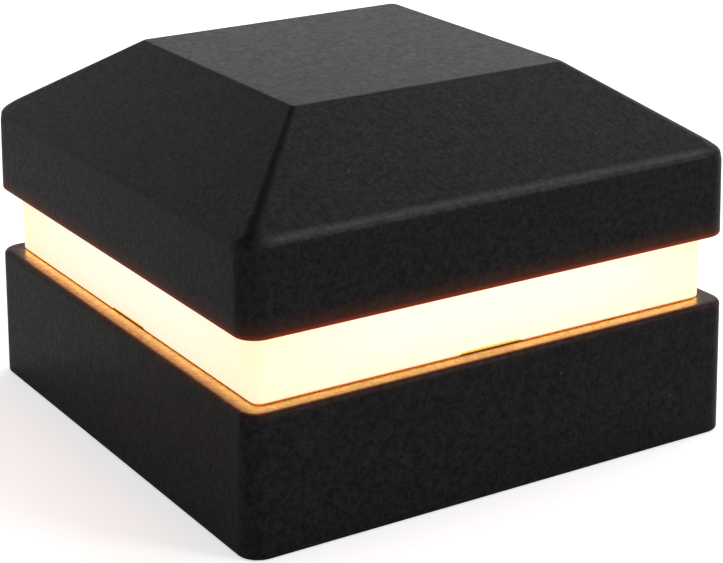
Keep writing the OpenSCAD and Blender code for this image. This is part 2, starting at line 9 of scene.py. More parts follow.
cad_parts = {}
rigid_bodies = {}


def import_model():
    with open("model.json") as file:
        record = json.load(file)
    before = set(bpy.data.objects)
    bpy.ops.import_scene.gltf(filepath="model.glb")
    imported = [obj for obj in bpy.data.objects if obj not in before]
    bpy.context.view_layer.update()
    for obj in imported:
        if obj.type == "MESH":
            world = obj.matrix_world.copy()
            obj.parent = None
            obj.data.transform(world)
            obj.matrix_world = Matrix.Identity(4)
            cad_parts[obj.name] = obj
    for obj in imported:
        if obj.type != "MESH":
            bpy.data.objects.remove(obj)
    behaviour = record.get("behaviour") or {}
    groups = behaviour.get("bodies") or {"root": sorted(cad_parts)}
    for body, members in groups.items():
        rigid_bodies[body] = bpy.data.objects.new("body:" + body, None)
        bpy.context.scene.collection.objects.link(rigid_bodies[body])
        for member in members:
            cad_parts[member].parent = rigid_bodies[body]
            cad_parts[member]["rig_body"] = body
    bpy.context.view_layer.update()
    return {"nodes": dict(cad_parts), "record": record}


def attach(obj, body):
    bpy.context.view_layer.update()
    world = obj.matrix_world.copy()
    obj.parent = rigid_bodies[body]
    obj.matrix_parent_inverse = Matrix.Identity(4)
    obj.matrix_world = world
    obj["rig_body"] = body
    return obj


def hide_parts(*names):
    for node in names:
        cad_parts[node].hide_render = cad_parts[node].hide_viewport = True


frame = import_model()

MM = 0.001

# ---- sizes of the part, in millimetres ----

base_half, ledge_half, fascia_half, eave_half = 51.25, 50.60, 50.40, 50.00
plateau_half, inner_plateau = 28.15, 27.28
inner_low, inner_high = 48.25, 47.675
diffuser_half, diffuser_in = 47.15, 44.65
lap_half, seat_half = 47.5, 45.6
groove_out, groove_in = 46.95, 44.85
gasket_out, gasket_in = 46.85, 44.95
lip_half, lip_in, sheet_half = 44.3, 43.1, 42.8
z_seat, z_deck_under, z_ledge, z_foot = 19.9, 22.9, 25.9, 26.2
z_fascia, z_diffuser_top, z_roof_seat, z_eave = 38.5, 43.5, 44.7, 54.3
z_ceiling, z_top = 66.6, 69.4
z_groove, z_lip = z_ledge - 0.5, z_ledge + 1.5
corner_r, diffuser_r, lap_r = 3.4, 1.8, 2.15
slope = (z_top - z_eave) / (eave_half - plateau_half)
slope_drop, half_wall = 3.40, 1.7
notch_half, notch_h = 6.5, 0.45
brow_half, z_brow = 50.04, 52.7
ear_from, ear_to, z_ear = 34.4, 45.05, 41.5
ear_pos, catch_pos, post_screw_pos = 38.5, 27.3, 33.0
driver_x, driver_y = 24.5, 16.5
boss_r, boss_bore_r, boss_bore_h = 3.5, 1.55, 6.2
driver_boss_r, driver_bore_r, z_driver_boss, z_driver_bore = 3.0, 1.25, 58.0, 64.0
rib_pos, rib_half, rib_in, rib_out, rib_ease, z_rib = 22.0, 1.5, 46.05, 49.2, 0.4, 2.0
pad_r, post_pad_share, post_hole_r, stud_hole_r, cable_hole_r = 5.0, 1.2, 2.4, 1.55, 8.0
cable_window_r, screw_window_r, stud_window_r, z_window = 10.8, 5.5, 3.3, (25.0, 27.0)
ball_r, z_ball = 2.0, 29.6
ear_bore_r, z_ear_screw, z_driver_screw = 1.7, 39.7, 56.4
board_off, z_board, board_screw_y = 34.0, 34.35, 25.0
package_y, package_step, packages_a_board = -20.0, 8.0, 6
CUT, SINK = 1, 0.8      # how far a cutter reaches past a face, and a joined part into a wall
TINY = 1e-6
WELD = 0.000002         # metres

# ---- camera ----

PHOTO_WIDTH, SENSOR = 723, 36                   # pixels, millimetres
FOCAL, SHIFT_X, SHIFT_Y = 2120.9, -0.19, 1.01   # pixels
VIEW_ANGLES = -31.853, 20.211, -0.368           # azimuth, elevation and roll in degrees
VIEW_TARGET, VIEW_DISTANCE = (3.450, 1.198, 22.576), 410.149


def place_camera():
    """The photograph's view: from the front left corner, a little above the roof."""
    azimuth, elevation, roll = (math.radians(a) for a in VIEW_ANGLES)
    target = Vector(VIEW_TARGET) * MM
    back = Vector((math.sin(azimuth) * math.cos(elevation),
                   -math.cos(azimuth) * math.cos(elevation), math.sin(elevation)))
    camera = bpy.data.objects.new("camera", bpy.data.cameras.new("camera"))
    camera.data.sensor_fit = "HORIZONTAL"
    camera.data.sensor_width = SENSOR
    camera.data.lens = FOCAL / PHOTO_WIDTH * SENSOR
    camera.data.shift_x, camera.data.shift_y = SHIFT_X / PHOTO_WIDTH, SHIFT_Y / PHOTO_WIDTH
    camera.data.clip_start = 0.01
    turn = back.to_track_quat("Z", "Y").to_matrix().to_4x4() @ Matrix.Rotation(roll, 4, "Z")
    camera.matrix_world = Matrix.Translation(target + back * VIEW_DISTANCE * MM) @ turn
    bpy.context.scene.collection.objects.link(camera)
    bpy.context.scene.camera = camera


place_camera()


# ---- small helpers for node trees ----

def put(tree, kind, inputs=(), **settings):
    """Adds a node; inputs maps a socket's name or number to a value or to another node's output."""
    node = tree.nodes.new(kind)
    for key, value in settings.items():
        setattr(node, key, value)
    for key, value in dict(inputs).items():
        if isinstance(value, bpy.types.NodeSocket):
            tree.links.new(value, node.inputs[key])
        else:
            node.inputs[key].default_value = value
    return node


def calc(tree, operation, *values):
    return put(tree, "ShaderNodeMath", dict(enumerate(values)), operation=operation).outputs[0]


def plus(tree, *values):
    return reduce(lambda a, b: calc(tree, "ADD", a, b), values)


def times(tree, *values):
    return reduce(lambda a, b: calc(tree, "MULTIPLY", a, b), values)


def minus(tree, first, second):
    return calc(tree, "SUBTRACT", first, second)


def gap(tree, first, second):
    return calc(tree, "ABSOLUTE", minus(tree, first, second))


def remap(tree, value, low, high, to_low, to_high):
    return put(tree, "ShaderNodeMapRange",
               dict(enumerate((value, low, high, to_low, to_high)))).outputs[0]


def blend(tree, factor, *ends):
    """Colour between two colours, each an output or three numbers."""
    first, second = (end if isinstance(end, bpy.types.NodeSocket) else (*end, 1.0) for end in ends)
    return put(tree, "ShaderNodeMix", {0: factor, 6: first, 7: second}, data_type="RGBA").outputs[2]


def mm(*values):
    """Millimetres in metres, for the trees' lengths."""
    return [value * MM for value in values]


def object_place(tree):
    return put(tree, "ShaderNodeTexCoord").outputs["Object"]


def side_place(tree):
    """Object coordinates |x|, |y| and z, the same on all four sides."""
    x, y, z = put(tree, "ShaderNodeSeparateXYZ", {0: object_place(tree)}).outputs
    return calc(tree, "ABSOLUTE", x), calc(tree, "ABSOLUTE", y), z


def noise_at(tree, place, scale, detail, roughness=0.5):
    return put(tree, "ShaderNodeTexNoise", {"Vector": place, "Scale": scale, "Detail": detail,
                                            "Roughness": roughness}).outputs[0]


def new_group(name, kind, inputs, outputs):
    """A node group with named sockets; inputs are (name, type, default)."""
    tree = bpy.data.node_groups.new(name, kind)
    for title, socket_type, default in inputs:
        socket = tree.interface.new_socket(title, in_out="INPUT", socket_type="NodeSocket" + socket_type)
        if default is not None:
            socket.default_value = default
    for title, socket_type in outputs:
        tree.interface.new_socket(title, in_out="OUTPUT", socket_type="NodeSocket" + socket_type)
    return tree, put(tree, "NodeGroupInput").outputs, put(tree, "NodeGroupOutput").inputs


# ---- shader groups ----

def make_fine_grain():
    """Noise at two scales: a fine grain for bump and roughness, and a slow drift for colour."""
    tree, given, out = new_group(
        "fine_grain", "ShaderNodeTree",
        [("Grain per metre", "Float", 2500.0), ("Drift per metre", "Float", 60.0),
         ("Grain sharpness", "Float", 0.5)],
        [("Grain", "Float"), ("Drift", "Float")])
    place = object_place(tree)
    grain = noise_at(tree, place, given["Grain per metre"], 3.0, given["Grain sharpness"])
    tree.links.new(grain, out["Grain"])
    tree.links.new(noise_at(tree, place, given["Drift per metre"], 2.0), out["Drift"])
    return tree


LUMP_SMOOTHNESS, LUMP_SHARE, WARP_ROUGHNESS, FINE_ROUGHNESS, FINE_SHARE = 0.35, 0.6, 0.62, 0.6, 0.5
MOTTLE_SPAN, SPECK_FADE = (0.55, 0.95), (0.1, 0.3)
TRACK_RANDOMNESS, TRACK_FADE = 0.85, (0.08, 0.11)


def make_sand_coat():
    """Sand-textured powder coat: lumps with dark gaps, a mottled tone and rare pale specks."""
    tree, given, out = new_group(
        "sand_coat", "ShaderNodeTree",
        [("Lumps per metre", "Float", 1600.0), ("Mottle per metre", "Float", 800.0),
         ("Speck share", "Float", 0.008)],
        [("Height", "Float"), ("Mottle", "Float"), ("Specks", "Float")])
    place = object_place(tree)
    warp = noise_at(tree, place, given["Mottle per metre"], 4.0, WARP_ROUGHNESS)
    lumps = put(tree, "ShaderNodeTexVoronoi", {"Vector": place, "Scale": given["Lumps per metre"],
                                               "Smoothness": LUMP_SMOOTHNESS}, feature="SMOOTH_F1")
    fine = noise_at(tree, place, given["Lumps per metre"], 3.0, FINE_ROUGHNESS)
    round_lump = minus(tree, 1.0, lumps.outputs["Distance"])
    tree.links.new(plus(tree, times(tree, round_lump, LUMP_SHARE), fine), out["Height"])
    mottle = remap(tree, plus(tree, warp, times(tree, fine, FINE_SHARE)), *MOTTLE_SPAN, 0.0, 1.0)
    tree.links.new(mottle, out["Mottle"])
    cells = put(tree, "ShaderNodeTexVoronoi",
                {"Vector": place, "Scale": given["Mottle per metre"]}).outputs
    lottery = put(tree, "ShaderNodeSeparateColor", {0: cells["Color"]}).outputs[0]
    chosen = calc(tree, "LESS_THAN", lottery, given["Speck share"])
    middle = remap(tree, cells["Distance"], *SPECK_FADE, 1.0, 0.0)
    tree.links.new(times(tree, chosen, middle), out["Specks"])
    return tree


def make_board_tracks():
    """Copper tracks under a board's solder mask."""
    tree, given, out = new_group("board_tracks", "ShaderNodeTree",
                                 [("Tracks per metre", "Float", 330.0)], [("Tracks", "Float")])
    cells = put(tree, "ShaderNodeTexVoronoi",
                {"Vector": object_place(tree), "Scale": given["Tracks per metre"],
                 "Randomness": TRACK_RANDOMNESS}, feature="DISTANCE_TO_EDGE")
    tree.links.new(remap(tree, cells.outputs["Distance"], *TRACK_FADE, 1.0, 0.0), out["Tracks"])
    return tree


# Painted shade, highlight and glow on the coat. The pairs say from where to where a mark fades, in
# millimetres.
HIP_WIDTHS, HIP_FADE = (0.6, 1.0), (0.1, 1.9)       # painted hip shade, at the top and the eave; shares of the width
SLOPE_RISE, SLOPE_END = (-1.2, 1.5), 0.3            # above the eave, and below the top
RIM_FADE, RIM_DEPTH = (0.2, 0.5), 0.8               # round the flat top
EAVE_LINE_UP, EAVE_LINE_FADE = 0.5, (0.1, 0.8)      # the painted highlight's height above the eave
EAVE_LINE_REACH, EAVE_LINE_ENDS = 47.8, (2.0, 6.0)  # its half width, and its ends off the hips
FOOT_GLOW_FADE, LIP_GLOW_FADE, FOOT_SLACK = (0.2, 4.5), (0.4, 1.1), 1.0      # painted glow and its painted red line, above the fascia's foot
LEDGE_GLOW_FADE, LEDGE_GLOW, LEDGE_SLACK = (0.6, 2.0), 0.35, 0.1        # painted glow, below the ledge


def make_roof_edges():
    """Painted shade along the hips and round the flat top, a painted highlight along the eave in front
    and behind, and painted glow where the coat would catch the band's light."""
    tree, given, out = new_group(
        "roof_edges", "ShaderNodeTree",
        [("Plateau half width", "Float", 0.028), ("Top", "Float", 0.069), ("Eave", "Float", 0.054),
         ("Fascia foot", "Float", 0.0385), ("Ledge", "Float", 0.0259)],
        [("Dark", "Float"), ("Rubbed", "Float"), ("Warm", "Float"), ("Lip", "Float")])
    x, y, z = side_place(tree)
    reach = calc(tree, "MAXIMUM", x, y)
    above_eave, below_top = minus(tree, z, given["Eave"]), minus(tree, given["Top"], z)
    above_foot, below_ledge = minus(tree, z, given["Fascia foot"]), minus(tree, given["Ledge"], z)
    # painted shade: darker along the hips and round the flat top
    width = remap(tree, z, given["Top"], given["Eave"], *mm(*HIP_WIDTHS))
    hip = remap(tree, calc(tree, "DIVIDE", gap(tree, x, y), width), *HIP_FADE, 1.0, 0.0)
    on_slope = times(tree, remap(tree, above_eave, *mm(*SLOPE_RISE), 0.0, 1.0),
                     calc(tree, "GREATER_THAN", below_top, SLOPE_END * MM))
    off_rim = gap(tree, reach, given["Plateau half width"])
    rim = times(tree, remap(tree, off_rim, *mm(*RIM_FADE), 1.0, 0.0),
                calc(tree, "LESS_THAN", below_top, RIM_DEPTH * MM))
    tree.links.new(calc(tree, "MAXIMUM", times(tree, hip, on_slope), rim), out["Dark"])
    # painted highlight: a paler line along the front and back eaves
    off_line = gap(tree, above_eave, EAVE_LINE_UP * MM)
    eave_highlight = times(tree, remap(tree, off_line, *mm(*EAVE_LINE_FADE), 1.0, 0.0),
                   calc(tree, "GREATER_THAN", reach, EAVE_LINE_REACH * MM),
                   remap(tree, minus(tree, y, x), *mm(*EAVE_LINE_ENDS), 0.0, 1.0))
    tree.links.new(eave_highlight, out["Rubbed"])
    # painted glow of the band's light on the fascia's foot and below the ledge
    on_roof = calc(tree, "GREATER_THAN", above_foot, -FOOT_SLACK * MM)
    on_base = calc(tree, "GREATER_THAN", below_ledge, LEDGE_SLACK * MM)
    roof_fade = remap(tree, above_foot, *mm(*FOOT_GLOW_FADE), 1.0, 0.0)
    base_fade = remap(tree, below_ledge, *mm(*LEDGE_GLOW_FADE), LEDGE_GLOW, 0.0)
    warm = calc(tree, "MAXIMUM", times(tree, roof_fade, roof_fade, on_roof),
                times(tree, base_fade, base_fade, on_base))
    tree.links.new(warm, out["Warm"])
    # painted red line of the band's glow along the fascia's lower edge
    lip_glow = times(tree, remap(tree, above_foot, *mm(*LIP_GLOW_FADE), 1.0, 0.0), on_roof)
    tree.links.new(lip_glow, out["Lip"])
    return tree


fine_grain, sand_coat, board_tracks = make_fine_grain(), make_sand_coat(), make_board_tracks()
roof_edges = make_roof_edges()


# ---- materials ----

COAT_TONES = (0.0055, 0.0055, 0.0057), (0.0178, 0.0176, 0.0173)
COAT_ROUGHNESS, COAT_RELIEF, COAT_BUMP = (0.40, 0.28), 0.00006, 0.42      # the relief in metres
SPECK, SPECK_SHOW = (0.12, 0.117, 0.115), 0.35
# painted shade along the hips and round the flat top
EDGE_SHADE, EDGE_SHADE_SHOW = (0.0, 0.0, 0.0), 0.6
# painted highlight along the front and back eaves
EAVE_HIGHLIGHT, EAVE_HIGHLIGHT_SHOW = (0.060, 0.059, 0.058), (0.5, 0.9)
# painted glow of the band's light on the fascia and the skirt
PAINTED_GLOW, PAINTED_GLOW_SHOW = (0.12, 0.032, 0.015), 0.75
# painted red line of the band's glow on the fascia's lower edge
LIP_GLOW = 0.25, 0.036, 0.010
GLOW_MIDDLE, GLOW_CORNER = (1.0, 0.945, 0.83), (1.0, 0.90, 0.53)
GLOW_FOOT, GLOW_FOOT_SHOW = (1.0, 0.92, 0.61), 0.75
CORNER_GLOW, CORNER_POWER = (12.0, 47.0), 1.9       # from the middle of a side, in millimetres
FOOT_GLOW = z_fascia, 26.5
CAST_FAR, CAST_NEAR, CAST_TOUCH = (1.0, 0.36, 0.16), (1.0, 0.59, 0.15), (1.0, 0.33, 0.02)
CAST_REACH, CAST_CLOSE, CAST_FOOT = -260.0, -1300.0, 0.35       # the first two per metre
OPAL_TONES = (0.40, 0.375, 0.31), (0.44, 0.415, 0.345)
OPAL_SEEN, OPAL_NEAR, OPAL_FAR = 0.84, 37.0, 1.3
# seal: its own dark colour raised to a brown that stands in for the band's warm light, and painted shade in
# the notches
SEAL_AND_GLOW_TONES, SEAL_NOTCH_SHADE = ((0.19, 0.080, 0.019), (0.29, 0.120, 0.030)), (0.080, 0.034, 0.004)
FLOOR_TONES, FLOOR_LIFT = ((0.86, 0.86, 0.86), (0.88, 0.88, 0.88)), 0.55
GRAIN_SPAN, ROUGHNESS_SWING, GRAIN_SHARE, TONE_SPAN = (0.3, 0.7), 0.07, 0.4, (0.45, 0.95)
WHITE = 1.0, 1.0, 1.0, 1.0


def new_material(name, **numbers):
    """A material with a Principled shader, whose plain numbers are set on its own sockets."""
    material = bpy.data.materials.new(name)
    material.use_nodes = True
    tree = material.node_tree
    tree.nodes.clear()
    shader = put(tree, "ShaderNodeBsdfPrincipled", {k.replace("_", " "): v for k, v in numbers.items()})
    put(tree, "ShaderNodeOutputMaterial", {"Surface": shader.outputs[0]})
    return material, tree, shader


def use_group(tree, group, **values):
    """Places a shader group, its inputs given by their names with _ for a space."""
    node = tree.nodes.new("ShaderNodeGroup")
    node.node_tree = group
    for key, value in values.items():
        node.inputs[key.replace("_", " ")].default_value = value
    return node.outputs


def use_grain(tree, grain, drift, sharpness=0.5):
    return use_group(tree, fine_grain, Grain_per_metre=grain, Drift_per_metre=drift,
                     Grain_sharpness=sharpness)


def bump(tree, shader, height, distance, strength=1.0):
    bumped = put(tree, "ShaderNodeBump", {"Height": height, "Distance": distance, "Strength": strength})
    tree.links.new(bumped.outputs[0], shader.inputs["Normal"])


def grained(name, dark, light, roughness, grain=2500.0, drift=60.0, relief=0.00001, **numbers):
    """A finish whose tone drifts between two colours, with grain in its roughness and relief."""
    material, tree, shader = new_material(name, **numbers)
    noise = use_grain(tree, grain, drift)
    tone = remap(tree, plus(tree, noise["Drift"], times(tree, noise["Grain"], GRAIN_SHARE)),
                 *TONE_SPAN, 0.0, 1.0)
    tree.links.new(blend(tree, tone, dark, light), shader.inputs["Base Color"])
    tree.links.new(remap(tree, noise["Grain"], *GRAIN_SPAN, roughness - ROUGHNESS_SWING,
                         roughness + ROUGHNESS_SWING), shader.inputs["Roughness"])
    bump(tree, shader, noise["Grain"], relief)
    return material


def make_black_coating():
    """Black powder coat with a fine sand texture, and painted shade, highlight and glow near the roof's
    edges.
    """
    material, tree, shader = new_material("black_powder_coat", Specular_IOR_Level=0.055)
    coat = use_group(tree, sand_coat, Lumps_per_metre=1600.0, Mottle_per_metre=800.0, Speck_share=0.008)
    edges = use_group(tree, roof_edges, Plateau_half_width=plateau_half * MM, Top=z_top * MM,
                      Eave=z_eave * MM, Fascia_foot=z_fascia * MM, Ledge=z_ledge * MM)
    tone = blend(tree, coat["Mottle"], *COAT_TONES)
    tone = blend(tree, times(tree, coat["Specks"], SPECK_SHOW), tone, SPECK)
    # painted shade on the hips and round the flat top
    tone = blend(tree, times(tree, edges["Dark"], EDGE_SHADE_SHOW), tone, EDGE_SHADE)
    # painted highlight along the eaves
    eave_highlight = times(tree, edges["Rubbed"], remap(tree, coat["Mottle"], 0.0, 1.0, *EAVE_HIGHLIGHT_SHOW))
    tone = blend(tree, eave_highlight, tone, EAVE_HIGHLIGHT)
    # painted glow of the band's light
    tone = blend(tree, times(tree, edges["Warm"], PAINTED_GLOW_SHOW), tone, PAINTED_GLOW)
    # painted red glow line on the fascia's lower edge
    tree.links.new(blend(tree, edges["Lip"], tone, LIP_GLOW), shader.inputs["Base Color"])
    tree.links.new(remap(tree, coat["Mottle"], 0.0, 1.0, *COAT_ROUGHNESS), shader.inputs["Roughness"])
    bump(tree, shader, coat["Height"], COAT_RELIEF, COAT_BUMP)
    return material


def make_opal():
    """Opal acrylic lit from inside. The camera sees a soft warm white; what lies close to the band
    gets the strong light that the band really gives, which fades with the distance."""
    material, tree, shader = new_material("lit_opal", Roughness=0.32, Specular_IOR_Level=0.3)
    noise = use_grain(tree, 900.0, 25.0, 0.4)
    x, y, z = side_place(tree)
    corner = remap(tree, calc(tree, "MINIMUM", x, y), *mm(*CORNER_GLOW), 0.0, 1.0)
    glow = blend(tree, calc(tree, "POWER", corner, CORNER_POWER), GLOW_MIDDLE, GLOW_CORNER)
    low = remap(tree, z, *mm(*FOOT_GLOW), 0.0, 1.0)
    glow = blend(tree, times(tree, low, GLOW_FOOT_SHOW), glow, GLOW_FOOT)
    path = put(tree, "ShaderNodeLightPath").outputs
    reach, touch = (calc(tree, "EXPONENT", times(tree, path["Ray Length"], fade))
                    for fade in (CAST_REACH, CAST_CLOSE))
    cast = blend(tree, touch, blend(tree, reach, CAST_FAR, CAST_NEAR), CAST_TOUCH)
    seen = path["Is Camera Ray"]
    tree.links.new(blend(tree, seen, cast, glow), shader.inputs["Emission Color"])
    tree.links.new(blend(tree, noise["Drift"], *OPAL_TONES), shader.inputs["Base Color"])
    foot_dim = remap(tree, touch, 0.0, 1.0, 1.0, CAST_FOOT)
    given = plus(tree, times(tree, reach, foot_dim, OPAL_NEAR), OPAL_FAR)
    strength = plus(tree, times(tree, seen, OPAL_SEEN), times(tree, minus(tree, 1.0, seen), given))
    tree.links.new(strength, shader.inputs["Emission Strength"])
    bump(tree, shader, noise["Grain"], 0.000004)
    return material


def make_board(name, mask_dark, mask_light, copper, show):
    """Circuit board: solder mask over copper tracks."""
    material, tree, shader = new_material(name, Specular_IOR_Level=0.5)
    noise = use_grain(tree, 3000.0, 120.0)
    tracks = use_group(tree, board_tracks, Tracks_per_metre=330.0)["Tracks"]
    tone = blend(tree, noise["Drift"], mask_dark, mask_light)
    tree.links.new(blend(tree, times(tree, tracks, show), tone, copper), shader.inputs["Base Color"])
    tree.links.new(remap(tree, noise["Grain"], *GRAIN_SPAN, 0.28, 0.42), shader.inputs["Roughness"])
    bump(tree, shader, plus(tree, tracks, times(tree, noise["Grain"], 0.2)), 0.00003)
    return material


def make_phosphor():
    """Yellow window of a light package, lit."""
    material, tree, shader = new_material("lit_phosphor", Emission_Strength=1.0)
    noise = use_grain(tree, 5000.0, 300.0, 0.6)
    tree.links.new(blend(tree, noise["Drift"], (0.85, 0.55, 0.10), (0.95, 0.68, 0.18)),
                   shader.inputs["Base Color"])
    tree.links.new(blend(tree, noise["Drift"], (1.0, 0.80, 0.40), (1.0, 0.88, 0.55)),
                   shader.inputs["Emission Color"])
    tree.links.new(remap(tree, noise["Grain"], *GRAIN_SPAN, 0.3, 0.45), shader.inputs["Roughness"])
    bump(tree, shader, noise["Grain"], 0.00001)
    return material


def make_seal():
    """Dark silicone of the seals, painted brown for the band's warm light on it, with painted shade in the
    pry notches of the band's foot.
    """
    material, tree, shader = new_material("dark_silicone", Roughness=0.55, Specular_IOR_Level=0.2)
    noise = use_grain(tree, 2500.0, 60.0)
    x, y, _ = side_place(tree)
    # painted shade in the pry notches
    notch_shade = remap(tree, calc(tree, "MINIMUM", x, y), *mm(notch_half - 0.1, notch_half + 0.2), 1.0, 0.0)
    # the seal's own dark colour, raised to a brown that stands in for the band's warm light on it
    tone = blend(tree, noise["Drift"], *SEAL_AND_GLOW_TONES)
    tree.links.new(blend(tree, notch_shade, tone, SEAL_NOTCH_SHADE), shader.inputs["Base Color"])
    bump(tree, shader, noise["Grain"], 0.00002)
    return material


def make_floor():
    """Pale floor: white where the light falls freely, and it keeps the object's shadow."""
    material, tree, shader = new_material("pale_floor", Roughness=0.9, Specular_IOR_Level=0.0)
    noise = use_grain(tree, 150.0, 4.0)
    tree.links.new(blend(tree, noise["Drift"], *FLOOR_TONES), shader.inputs["Base Color"])
    shader.inputs["Emission Color"].default_value = WHITE
    seen = put(tree, "ShaderNodeLightPath").outputs["Is Camera Ray"]
    tree.links.new(times(tree, seen, FLOOR_LIFT), shader.inputs["Emission Strength"])
    return material


black_coating, opal, dark_seal = make_black_coating(), make_opal(), make_seal()
black_rubber = grained("black_rubber", (0.014, 0.014, 0.014), (0.034, 0.033, 0.032), 0.62, 1800.0,
                       relief=0.00003)
white_film = grained("white_film", (0.80, 0.80, 0.78), (0.90, 0.90, 0.88), 0.6, 1200.0, relief=0.00002)
white_enamel = grained("white_enamel", (0.76, 0.76, 0.73), (0.86, 0.86, 0.84), 0.35, 700.0, relief=0.00002)
zinc = grained("zinc_plate", (0.50, 0.50, 0.52), (0.74, 0.74, 0.75), 0.34, 3500.0, 500.0, Metallic=1.0)
white_nylon = grained("white_nylon", (0.74, 0.74, 0.70), (0.86, 0.86, 0.83), 0.45, 2000.0)
natural_nylon = grained("natural_nylon", (0.70, 0.66, 0.55), (0.84, 0.81, 0.71), 0.42, 2000.0)
green_moulding = grained("green_moulding", (0.035, 0.22, 0.10), (0.06, 0.32, 0.15), 0.38, 2500.0)
black_moulding = grained("black_moulding", (0.020, 0.020, 0.022), (0.045, 0.045, 0.05), 0.55, 4000.0,
                         relief=0.00003)
ferrite = grained("ferrite", (0.07, 0.07, 0.075), (0.15, 0.15, 0.16), 0.5, 3000.0, relief=0.00004)
blue_sleeve = grained("blue_sleeve", (0.03, 0.035, 0.14), (0.06, 0.07, 0.24), 0.3, 900.0)
fuse_body = grained("glass_fibre_body", (0.10, 0.20, 0.11), (0.17, 0.28, 0.18), 0.4, 5000.0,
                    relief=0.00003)
red_insulation = grained("red_insulation", (0.42, 0.02, 0.015), (0.62, 0.05, 0.035), 0.36, 1500.0)
black_insulation = grained("black_insulation", (0.012, 0.012, 0.012), (0.03, 0.03, 0.03), 0.38, 1500.0)
housing_white = grained("package_housing", (0.78, 0.78, 0.74), (0.90, 0.90, 0.87), 0.4, 4000.0)
white_board = make_board("white_board", (0.78, 0.78, 0.75), (0.88, 0.88, 0.85), (0.90, 0.86, 0.72), 0.5)
green_board = make_board("green_board", (0.015, 0.12, 0.055), (0.025, 0.18, 0.08), (0.05, 0.26, 0.12), 0.8)
phosphor, pale_floor = make_phosphor(), make_floor()


# ---- geometry trees ----

def make_shell_tree():
    """Sweeps a profile round a square with round corners. A profile point's x is the half width,
    its y the corner radius and its z the height."""
    tree, given, out = new_group(
        "shell_from_profile", "GeometryNodeTree",
        [("Profile", "Geometry", None), ("Side steps", "Int", 20), ("Corner steps", "Int", 12),
         ("Finish", "Material", None)],
        [("Shell", "Geometry")])
    position = put(tree, "GeometryNodeInputPosition").outputs[0]
    quarter = plus(tree, given["Side steps"], given["Corner steps"])
    rows = put(tree, "GeometryNodeAttributeDomainSize", {0: given["Profile"]}, component="MESH").outputs[0]
    columns = plus(tree, times(tree, quarter, 4.0), 1.0)
    grid = put(tree, "GeometryNodeMeshGrid", {"Vertices X": columns, "Vertices Y": rows}).outputs[0]
    index = put(tree, "GeometryNodeInputIndex").outputs[0]
    column = calc(tree, "FLOOR", calc(tree, "DIVIDE", index, rows))
    row = minus(tree, index, times(tree, column, rows))
    corner = calc(tree, "FLOOR", calc(tree, "DIVIDE", column, quarter))
    step = minus(tree, column, times(tree, corner, quarter))
    sampled = put(tree, "GeometryNodeSampleIndex",
                  {"Geometry": given["Profile"], "Value": position, "Index": row},
                  data_type="FLOAT_VECTOR", domain="POINT").outputs[0]
    half, radius, height = put(tree, "ShaderNodeSeparateXYZ", {0: sampled}).outputs
    core = minus(tree, half, radius)
    along = calc(tree, "MINIMUM", calc(tree, "DIVIDE", step, given["Side steps"]), 1.0)
    side_y = times(tree, core, calc(tree, "COSINE", times(tree, along, math.pi)))
    past = calc(tree, "MAXIMUM", minus(tree, step, given["Side steps"]), 0.0)
    angle = times(tree, calc(tree, "DIVIDE", past, given["Corner steps"]), math.pi / 2)
    x = plus(tree, core, times(tree, radius, calc(tree, "COSINE", angle)))
    y = minus(tree, times(tree, radius, calc(tree, "SINE", angle)), side_y)
    place = put(tree, "ShaderNodeCombineXYZ", {0: x, 1: y, 2: height}).outputs[0]
    turned_place = put(tree, "ShaderNodeVectorRotate",
                       {"Vector": place, "Angle": times(tree, corner, math.pi / 2)},
                       rotation_type="Z_AXIS").outputs[0]
    moved = put(tree, "GeometryNodeSetPosition", {"Geometry": grid, "Position": turned_place}).outputs[0]
    flat = put(tree, "ShaderNodeVectorMath", {0: position, 1: (1.0, 1.0, 0.0)},
               operation="MULTIPLY").outputs[0]
    off_axis = put(tree, "ShaderNodeVectorMath", {0: flat}, operation="LENGTH").outputs["Value"]
    kept = put(tree, "GeometryNodeDeleteGeometry",
               {"Geometry": moved, "Selection": calc(tree, "LESS_THAN", off_axis, 0.0000001)},
               domain="FACE").outputs[0]
    closed = put(tree, "GeometryNodeMergeByDistance", {"Geometry": kept, "Distance": WELD}).outputs[0]
    smooth = put(tree, "GeometryNodeSetShadeSmooth", {0: closed}).outputs[0]
    done = put(tree, "GeometryNodeSetMaterial", {"Geometry": smooth, "Material": given["Finish"]})
    tree.links.new(done.outputs[0], out["Shell"])
    return tree


def make_copies_tree():
    """Puts a copy of a piece at each point, turned by the point's own angles."""
    tree, given, out = new_group(
        "copies_at_places", "GeometryNodeTree",
        [("Places", "Geometry", None), ("Piece", "Object", None), ("Finish", "Material", None)],
        [("Copies", "Geometry")])
    piece = put(tree, "GeometryNodeObjectInfo", {"Object": given["Piece"]}).outputs["Geometry"]
    turn = put(tree, "GeometryNodeInputNamedAttribute", {"Name": "turn"},
               data_type="FLOAT_VECTOR").outputs[0]
    made = put(tree, "GeometryNodeInstanceOnPoints",
               {"Points": given["Places"], "Instance": piece, "Rotation": turn}).outputs[0]
    real = put(tree, "GeometryNodeRealizeInstances", {0: made}).outputs[0]
    done = put(tree, "GeometryNodeSetMaterial", {"Geometry": real, "Material": given["Finish"]})
    tree.links.new(done.outputs[0], out["Copies"])
    return tree


shell_tree, copies_tree = make_shell_tree(), make_copies_tree()


# ---- mesh helpers ----

def new_object(name, mesh):
    piece = bpy.data.objects.new(name, mesh)
    bpy.context.scene.collection.objects.link(piece)
    return piece


def settle(piece):
    """Turns what the modifiers make into the object's plain mesh and removes them."""
    graph = bpy.context.evaluated_depsgraph_get()
    graph.update()
    mesh = bpy.data.meshes.new_from_object(piece.evaluated_get(graph), depsgraph=graph)
    piece.modifiers.clear()
    piece.data = mesh
    return piece


